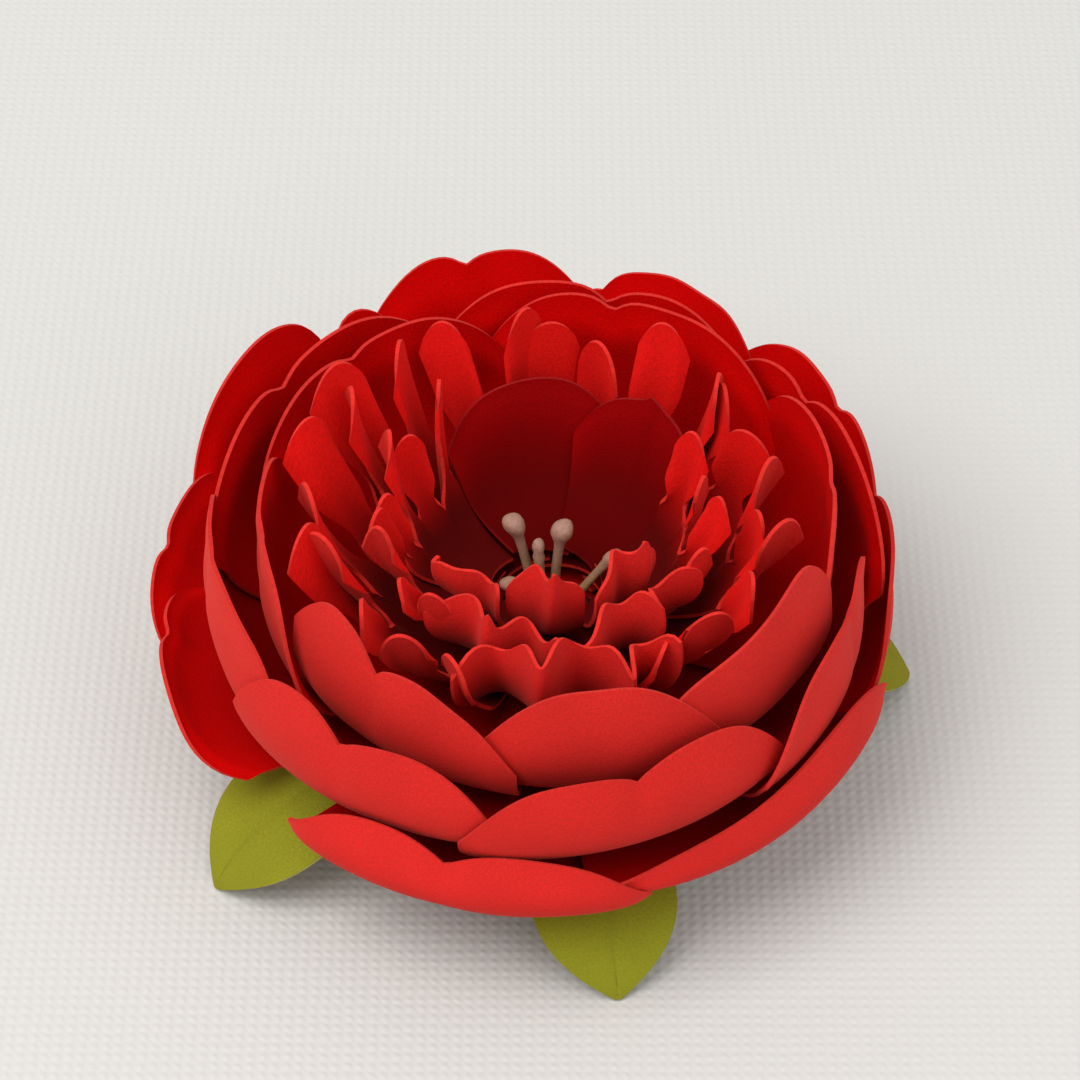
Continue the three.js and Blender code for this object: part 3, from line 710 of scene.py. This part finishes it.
def make_cloth(piece, surface, thickness, materials, node):
    """Shapes a grid into cloth; the weave's chart takes its length and width from the shaped sheet.
    """
    mesh = piece.data
    flat = np.empty(len(mesh.vertices) * 3)
    mesh.vertices.foreach_get("co", flat)
    flat = flat.reshape(-1, 3)
    across, up = flat[:, 0], (flat[:, 1] + 1) / 2
    points = surface(across, up)
    middle_line = surface(np.zeros(SAMPLES), np.linspace(0, 1, SAMPLES))
    cross_line = surface(np.linspace(-1, 1, SAMPLES), np.full(SAMPLES, WIDTH_AT))
    length = np.linalg.norm(np.diff(middle_line, axis=0), axis=1).sum()
    width = np.linalg.norm(np.diff(cross_line, axis=0), axis=1).sum()
    layer = mesh.uv_layers.active
    corners = np.empty(len(mesh.loops), int)
    mesh.loops.foreach_get("vertex_index", corners)
    chart = MM * np.stack([0.5 * width * across, length * up], axis=1)[corners]
    layer.data.foreach_set("uv", chart.ravel())
    petal_place = mesh.uv_layers.new(name="PetalPlace")
    petal_place.data.foreach_set("uv", np.stack([across, up], axis=1)[corners].ravel())
    mesh.vertices.foreach_set("co", (points * MM).ravel())
    mesh.update()
    for material in materials:
        mesh.materials.append(material)
    apply_modifier(piece, "SOLIDIFY", thickness=thickness, offset=0, material_offset=1,
                   material_offset_rim=2, use_quality_normals=True)
    smooth(piece)
    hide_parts(node)
    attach(piece, "flower")


def bake_place(piece):
    """Moves an object's place and turn into its mesh."""
    piece.data.transform(piece.matrix_world)
    piece.matrix_world = Matrix.Identity(4)


# Clip: its pivot, and its turn about +Z, from the hinge in the frame

HINGE = frame["joints"][0]
PIVOT = Vector(HINGE["pos_m"])
CLIP_TURN = math.atan2(HINGE["axis"][0], -HINGE["axis"][1])


def clip_matrix():
    """From the clip's own axes, with its pivot at the origin and its lever along +X."""
    return Matrix.Translation(PIVOT) @ Matrix.Rotation(CLIP_TURN, 4, "Z")


# Stage, in metres: what the camera looks at, and the lights' places, sizes and watts

LOOK_AT = Vector((0.35, -1.25, 22.9)) * MM
LIGHTS_AIM = Vector((0, 0, 0.015))
LIGHTS = {
    "window_light": ((-0.35, -0.2, 0.7), 0.6, 4.6),
    "front_light": ((0.45, -0.45, 0.55), 0.7, 1.3),
}
SKY = (0.95, 0.97, 1.0, 1)
SKY_STRENGTH = 0.78
FLOOR_SIZE = 1.6


# Operators

class HAIRCLIP_OT_stage(bpy.types.Operator):
    """Floor, lights and camera."""
    bl_idname = "hairclip.stage"
    bl_label = "Stage"

    def execute(self, context):
        settings = context.scene.hairclip_stage
        back = Vector((0, -math.cos(settings.elevation), math.sin(settings.elevation)))
        deselect()
        bpy.ops.object.camera_add(location=LOOK_AT + back * settings.distance)
        camera = context.object
        camera.name = "camera"
        camera.rotation_euler = (-back).to_track_quat("-Z", "Y").to_euler()
        camera.data.lens = settings.lens
        camera.data.clip_start, camera.data.clip_end = 0.01, 20
        context.scene.camera = camera

        deselect()
        bpy.ops.mesh.primitive_grid_add(x_subdivisions=40, y_subdivisions=40, size=FLOOR_SIZE)
        floor = context.object
        floor.name = "floor"
        floor.data.materials.append(linen_floor("linen_tablecloth", settings.floor_colour))

        for name, (place, size, power) in LIGHTS.items():
            deselect()
            bpy.ops.object.light_add(type="AREA", location=place)
            light = context.object
            light.name = name
            light.rotation_euler = (LIGHTS_AIM - Vector(place)).to_track_quat("-Z", "Y").to_euler()
            light.data.size = size
            light.data.energy = power
        world = bpy.data.worlds.new("studio")
        world.use_nodes = True
        background = world.node_tree.nodes["Background"]
        background.inputs["Color"].default_value = SKY
        background.inputs["Strength"].default_value = SKY_STRENGTH
        context.scene.world = world
        context.scene.view_settings.view_transform = "Standard"
        return {"FINISHED"}


# Cloth colours beside the petals': outside, inside and cut edge, and other pieces' colours
DEEP_RED = ("980202", "900002", "900606")
RUFFLE_RED = ("D41C16", "E41612", "D8281E")
LEAF_EDGE = "B2AE5A"
GLUE_BROWN = "8E4E40"
SPRING_GREY = "A5A39E"


class HAIRCLIP_OT_petals(bpy.types.Operator):
    """Smooth petals: three rings of heat-pressed cloth and the two in the middle."""
    bl_idname = "hairclip.petals"
    bl_label = "Petals"

    def execute(self, context):
        cloth = context.scene.hairclip_cloth
        # The last number in each call is how dark the painted shade makes the cloth at the root.
        materials = cloth_materials("cotton_satin", cloth.petal_outside, cloth.petal_inside,
                                    cloth.cut_edge, cloth.thread, 0.3, 0.03, 0.5)
        deep = cloth_materials("cotton_satin_deep", *DEEP_RED, cloth.thread, 0.03, 0.0, 0.35)
        for ring, petals in PETALS.items():
            for number, petal in enumerate(petals, 1):
                name = f"{ring}_{number}"
                piece = grid(f"cloth_{name}", *PETAL_GRID)
                make_cloth(piece, petal_points(ring, petal, 100 * number + len(ring)),
                           cloth.thickness, deep if ring == "centre_petal" else materials,
                           name)
        return {"FINISHED"}


class HAIRCLIP_OT_ruffles(bpy.types.Operator):
    """Ruffles: fringed and folded strips round the middle of the flower."""
    bl_idname = "hairclip.ruffles"
    bl_label = "Ruffles"

    def execute(self, context):
        cloth = context.scene.hairclip_cloth
        # The last number is how dark the painted shade makes the ruffles at the root.
        materials = cloth_materials("cotton_satin_ruffle", *RUFFLE_RED, cloth.thread,
                                    0.22, 0.12, 0.1)
        for ring, petals in RUFFLES.items():
            for number, petal in enumerate(petals, 1):
                name = f"{ring}_{number}"
                cut, lobes = petal[2], len(petal[3])
                seed = 100 * number + 7 * len(ring)
                if cut:
                    piece = grid(f"cloth_{name}", lobes * (FRINGE_CELLS + 1) - 1, FRINGE_ROWS)
                    cut_between_lobes(piece, lobes, cut)
                    surface = fringe_points(ring, petal, seed)
                else:
                    piece = grid(f"cloth_{name}", *FRILL_GRID)
                    surface = frill_points(ring, petal, seed)
                make_cloth(piece, surface, cloth.thickness, materials,
                           name)
        return {"FINISHED"}


class HAIRCLIP_OT_stamens(bpy.types.Operator):
    """Stamens: waxed threads with a blunt bead at the tip."""
    bl_idname = "hairclip.stamens"
    bl_label = "Stamens"

    def execute(self, context):
        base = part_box("glue_core")[1].z / MM + STAMEN_GAP
        material = waxed_thread("waxed_cotton_thread", THREAD_TAN, BEAD_PINK, (base + 1) * MM,
                                (base + 5) * MM)
        for number, (distance, azimuth, height, lean, head) in enumerate(STAMENS, 1):
            deselect()
            bpy.ops.mesh.primitive_cylinder_add(
                vertices=STAMEN_SIDES, radius=0.4 * MM, depth=MM)
            piece = context.object
            piece.name = piece.data.name = f"thread_stamen_{number}"
            shape_stamen(piece, distance, azimuth, base, height, lean, head, number)
            piece.data.materials.append(material)
            smooth(piece, 60)
            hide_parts(f"stamen_{number}")
            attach(piece, "flower")
        return {"FINISHED"}


def shape_stamen(piece, distance, azimuth, base, height, lean, head, seed):
    """Turns a cylinder into a thread that leans, with a bead at its tip."""
    profile = THREAD_PROFILE + [(t, share * head / 2) for t, share in HEAD_PROFILE]
    draw = np.random.default_rng(seed)
    sway = draw.uniform(-0.25, 0.25, 2)
    mesh = bmesh.new()
    rings = []
    top = height + 0.3 * head
    for t, radius in profile:
        centre = around(azimuth, distance + lean * t**1.4, base + top * t)
        centre = centre + np.array([sway[0], sway[1], 0]) * math.sin(math.pi * t)
        if radius == 0:
            rings.append([mesh.verts.new(Vector(centre * MM))])
            continue
        ring = []
        for side in range(STAMEN_SIDES):
            turn = 2 * math.pi * side / STAMEN_SIDES
            lump = 1 + 0.06 * math.sin(3 * turn + 5 * t) * (t > 0.7)
            spot = centre + radius * lump * np.array([math.cos(turn), math.sin(turn), 0])
            ring.append(mesh.verts.new(Vector(spot * MM)))
        rings.append(ring)
    for low, high in zip(rings, rings[1:]):
        for side in range(STAMEN_SIDES):
            after = (side + 1) % STAMEN_SIDES
            if len(high) == 1:
                mesh.faces.new((low[side], low[after], high[0]))
            else:
                mesh.faces.new((low[side], low[after], high[after], high[side]))
    mesh.faces.new(list(reversed(rings[0])))
    mesh.normal_update()
    mesh.to_mesh(piece.data)
    mesh.free()


class HAIRCLIP_OT_leaves(bpy.types.Operator):
    """Leaves: five pressed leaves of green cloth that arch down to their tips."""
    bl_idname = "hairclip.leaves"
    bl_label = "Leaves"

    def execute(self, context):
        cloth = context.scene.hairclip_cloth
        materials = cloth_materials("cotton_leaf", cloth.leaf_colour, cloth.leaf_colour, LEAF_EDGE,
                                    cloth.thread, 0.15, 0.15, 1.0)
        for number, leaf in enumerate(LEAVES, 1):
            piece = grid(f"cloth_leaf_{number}", *LEAF_GRID)
            make_cloth(piece, leaf_points(leaf, number), cloth.thickness, materials,
                       f"leaf_{number}")
        return {"FINISHED"}


class HAIRCLIP_OT_backing(bpy.types.Operator):
    """Backing: the felt disc and the glue that the petals are set round."""
    bl_idname = "hairclip.backing"
    bl_label = "Backing"

    def execute(self, context):
        clip = context.scene.hairclip_clip
        low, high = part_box("felt_disc")
        radius = (high.x - low.x) / 2
        deselect()
        bpy.ops.mesh.primitive_circle_add(
            vertices=128, radius=radius, fill_type="NGON",
            location=(MIDDLE[0] * MM, MIDDLE[1] * MM, (low.z + high.z) / 2))
        felt = context.object
        felt.name = felt.data.name = "felt_backing"
        bake_place(felt)
        bpy.ops.object.mode_set(mode="EDIT")
        bpy.ops.mesh.select_all(action="SELECT")
        bpy.ops.mesh.inset(thickness=0.3 * MM)
        bpy.ops.mesh.inset(thickness=1.5 * MM)
        bpy.ops.object.mode_set(mode="OBJECT")
        for vertex in felt.data.vertices:  # an edge cut by hand, not quite round
            out = Vector((vertex.co.x - MIDDLE[0] * MM, vertex.co.y - MIDDLE[1] * MM, 0))
            turn = math.atan2(out.y, out.x)
            if out.length > 0.98 * radius:
                vertex.co -= out * 0.006 * (1 + math.sin(23 * turn) * math.sin(7 * turn + 1))
        apply_modifier(felt, "SOLIDIFY", thickness=high.z - low.z, offset=0)
        apply_modifier(felt, "BEVEL", width=0.18 * MM, segments=3, limit_method="ANGLE")
        felt.data.materials.append(wool_felt("pressed_wool_felt", clip.felt_colour))
        smooth(felt)
        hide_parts("felt_disc")
        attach(felt, "flower")

        low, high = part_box("glue_core")
        deselect()
        bpy.ops.mesh.primitive_cylinder_add(
            vertices=48, radius=(high.x - low.x) / 2 - 0.15 * MM, depth=high.z - low.z,
            location=(MIDDLE[0] * MM, MIDDLE[1] * MM, (low.z + high.z) / 2))
        glue = context.object
        glue.name = glue.data.name = "glue_core_melted"
        bake_place(glue)
        apply_modifier(glue, "BEVEL", width=1.1 * MM, segments=4, limit_method="ANGLE")
        bpy.ops.object.mode_set(mode="EDIT")
        bpy.ops.mesh.select_all(action="SELECT")
        bpy.ops.mesh.subdivide(number_cuts=2)
        bpy.ops.object.mode_set(mode="OBJECT")
        for vertex in glue.data.vertices:  # glue that has sunk in unevenly
            turn = math.atan2(vertex.co.y - MIDDLE[1] * MM, vertex.co.x - MIDDLE[0] * MM)
            rise = (vertex.co.z - low.z) / MM
            squeeze = 1 - 0.03 * (1 + math.sin(3 * turn + rise) * math.cos(0.9 * rise + turn))
            vertex.co.x = MIDDLE[0] * MM + (vertex.co.x - MIDDLE[0] * MM) * squeeze
            vertex.co.y = MIDDLE[1] * MM + (vertex.co.y - MIDDLE[1] * MM) * squeeze
        glue.data.materials.append(hot_glue("hot_melt_glue", GLUE_BROWN))
        smooth(glue, 60)
        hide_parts("glue_core")
        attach(glue, "flower")
        return {"FINISHED"}


class HAIRCLIP_OT_clip(bpy.types.Operator):
    """Clip: the steel strip, the toothed jaw with its lever, the pin and the spring."""
    bl_idname = "hairclip.clip"
    bl_label = "Clip"

    def execute(self, context):
        clip = context.scene.hairclip_clip
        plate = plated_steel("nickel_plated_steel", clip.steel_colour, 0.26, 0.12)
        for node, body, slot in (
            ("clip_strip", "flower", "clip_steel"), ("clip_jaw", "jaw", "clip_steel"),
            ("hinge_pin", "flower", "pin_steel"),
        ):
            piece = frame["nodes"][node].copy()
            piece.data = piece.data.copy()
            piece.parent = None
            for key in list(piece.keys()):
                del piece[key]
            context.scene.collection.objects.link(piece)
            piece.name = piece.data.name = f"steel_{node}"
            piece.data.materials.clear()
            round_edges(piece, clip.bevel)
            piece.data.materials.append(plate)
            smooth(piece, 35)
            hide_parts(node)
            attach(piece, body)
        piece = spring_wire()
        piece.data.materials.append(plated_steel("spring_wire_steel", SPRING_GREY, 0.32, 0.06))
        smooth(piece, 60)
        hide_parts("jaw_spring")
        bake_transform(piece)
        return {"FINISHED"}


def round_edges(piece, width):
    """Merges a CAD copy's loose triangles, joins flat ones and rounds its sharp edges."""
    deselect()
    piece.select_set(True)
    bpy.context.view_layer.objects.active = piece
    bpy.ops.object.mode_set(mode="EDIT")
    bpy.ops.mesh.select_all(action="SELECT")
    bpy.ops.mesh.remove_doubles(threshold=0.001 * MM)
    bpy.ops.mesh.dissolve_limited(angle_limit=math.radians(1))
    bpy.ops.object.mode_set(mode="OBJECT")
    apply_modifier(piece, "BEVEL", width=width, segments=2, limit_method="ANGLE",
                   angle_limit=math.radians(35), use_clamp_overlap=True)


# The spring, in millimetres. The last two are heights above the standing surface.
WIRE = 0.4
COIL_DIAMETER = 2.2
COIL_TURNS = 5
COIL_PITCH = 1.3  # in wires
COIL_STEPS = 24  # points to a turn
LEG_LENGTH = 7
STRIP_GAP = 0.05  # between the upper leg and the strip
STRIP_UNDER = 5.7
LEVER_LEG_HEIGHT = 1.95


def spring_wire():
    """A torsion spring: a leg under the strip, a coil round the pin and a leg on the lever."""
    radius, pitch, steps = COIL_DIAMETER / 2, WIRE * COIL_PITCH, COIL_STEPS
    start = -pitch * COIL_TURNS / 2
    upper = STRIP_UNDER - WIRE / 2 - STRIP_GAP - PIVOT.z / MM
    points = [(LEG_LENGTH, start, upper), (LEG_LENGTH / 2, start, upper - 0.06)]
    for step in range(COIL_TURNS * steps + steps // 2 + 1):
        turn = math.pi / 2 + 2 * math.pi * step / steps
        points.append((radius * math.cos(turn), start + pitch * step / steps,
                       radius * math.sin(turn)))
    end = points[-1][1]
    points.append((LEG_LENGTH / 2, end, LEVER_LEG_HEIGHT + 0.45 - PIVOT.z / MM))
    points.append((LEG_LENGTH, end, LEVER_LEG_HEIGHT - PIVOT.z / MM))
    curve = bpy.data.curves.new("spring_wire", "CURVE")
    curve.dimensions = "3D"
    curve.bevel_depth = WIRE / 2 * MM
    curve.bevel_resolution = 3
    curve.use_fill_caps = True
    line = curve.splines.new("POLY")
    line.points.add(len(points) - 1)
    place = clip_matrix()
    for point, spot in zip(line.points, points):
        point.co = (*(place @ (Vector(spot) * MM)), 1)
    piece = bpy.data.objects.new("spring_wire", curve)
    bpy.context.scene.collection.objects.link(piece)
    deselect()
    piece.select_set(True)
    bpy.context.view_layer.objects.active = piece
    bpy.ops.object.convert(target="MESH")
    return bpy.context.object


class HAIRCLIP_PT_panel(bpy.types.Panel):
    """The pieces of the hair clip, and the sizes and colours behind them."""
    bl_idname = "HAIRCLIP_PT_panel"
    bl_label = "Flower Hair Clip"
    bl_space_type = "VIEW_3D"
    bl_region_type = "UI"
    bl_category = "Hair Clip"

    def draw(self, context):
        for operator in OPERATORS:
            self.layout.operator(operator.bl_idname)
        for settings in ("hairclip_cloth", "hairclip_clip", "hairclip_stage"):
            group = getattr(context.scene, settings)
            for name in type(group).__annotations__:
                self.layout.prop(group, name)


OPERATORS = (
    HAIRCLIP_OT_stage, HAIRCLIP_OT_petals, HAIRCLIP_OT_ruffles, HAIRCLIP_OT_stamens,
    HAIRCLIP_OT_leaves, HAIRCLIP_OT_backing, HAIRCLIP_OT_clip,
)
CLASSES = (ClothSettings, ClipSettings, StageSettings, *OPERATORS, HAIRCLIP_PT_panel)


def register():
    for kind in CLASSES:
        bpy.utils.register_class(kind)
    bpy.types.Scene.hairclip_cloth = PointerProperty(type=ClothSettings)
    bpy.types.Scene.hairclip_clip = PointerProperty(type=ClipSettings)
    bpy.types.Scene.hairclip_stage = PointerProperty(type=StageSettings)


def unregister():
    del bpy.types.Scene.hairclip_stage
    del bpy.types.Scene.hairclip_clip
    del bpy.types.Scene.hairclip_cloth
    for kind in reversed(CLASSES):
        bpy.utils.unregister_class(kind)


def main():
    register()
    bpy.ops.hairclip.stage()
    bpy.ops.hairclip.petals()
    bpy.ops.hairclip.ruffles()
    bpy.ops.hairclip.stamens()
    bpy.ops.hairclip.leaves()
    bpy.ops.hairclip.backing()
    bpy.ops.hairclip.clip()


if __name__ == "__main__":
    main()
